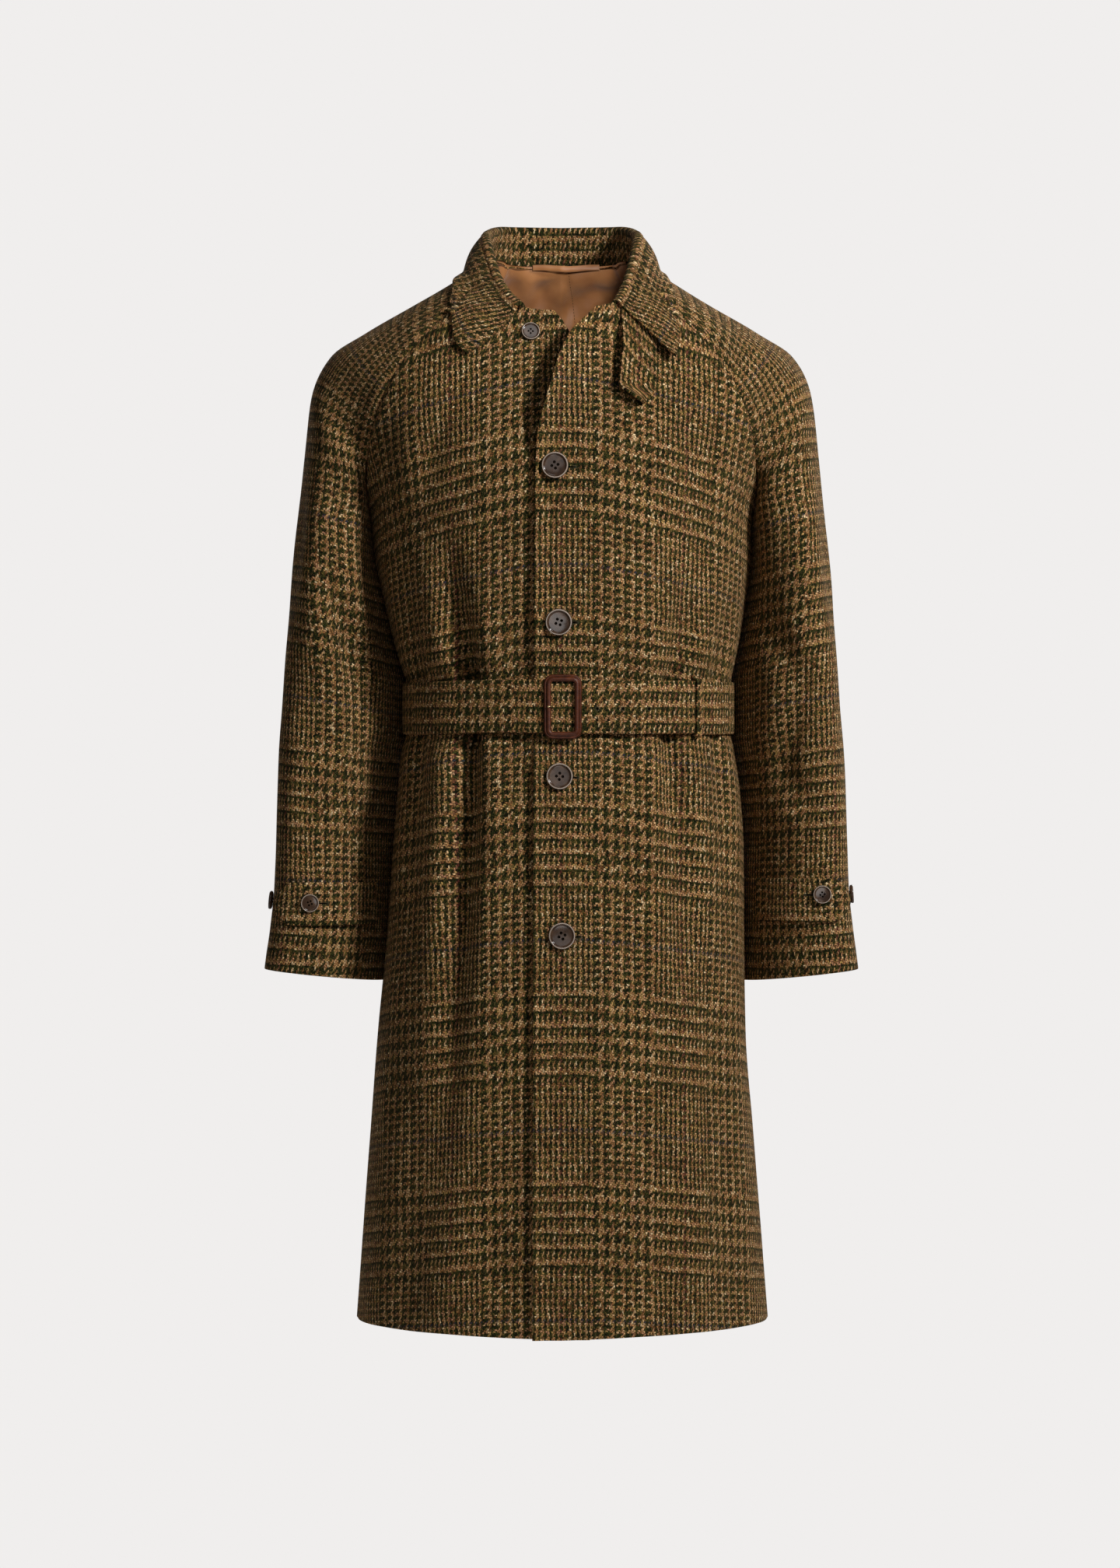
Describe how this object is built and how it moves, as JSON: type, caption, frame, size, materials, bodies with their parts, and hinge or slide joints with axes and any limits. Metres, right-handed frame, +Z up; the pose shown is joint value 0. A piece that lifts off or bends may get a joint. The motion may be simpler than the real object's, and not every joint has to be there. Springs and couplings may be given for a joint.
{
  "type": "balmacaan coat",
  "caption": "Belted balmacaan overcoat in checked tweed, with raglan sleeves, turn-down collar, throat tab, cuff straps and a covered buckle, kept in its worn, filled-out shape.",
  "frame": {"origin": "inside the coat between the shoulders, on the centre line at the height of the front of the neck, where the wearer carries it", "axes": "+Z up towards the collar, -Y towards the front of the coat, +X towards the wearer's left"},
  "size_m": [0.615, 0.3511, 1.1487],
  "materials": {
    "tweed": "napped wool tweed in a check of dark green and camel",
    "lining": "smooth copper brown twill lining",
    "leather": "waxed dark brown leather",
    "horn": "polished dark horn",
    "brass": "satin"
  },
  "bodies": {
    "root": {"back_left": "tweed", "back_right": "tweed", "belt": "tweed", "belt_keeper": "tweed", "buckle": "leather", "buckle_tongue": "brass", "button_cuff_left_1": "horn", "button_cuff_left_2": "horn", "button_cuff_right_1": "horn", "button_cuff_right_2": "horn", "button_front_1": "horn", "button_front_2": "horn", "button_front_3": "horn", "button_front_4": "horn", "button_neck": "horn", "collar": "tweed", "cuff_strap_left": "tweed", "cuff_strap_right": "tweed", "front_left": "tweed", "front_right": "tweed", "hanger_loop": "lining", "lining_back": "lining", "sleeve_left": "tweed", "sleeve_right": "tweed", "throat_tab": "tweed"}
  },
  "joints": []
}
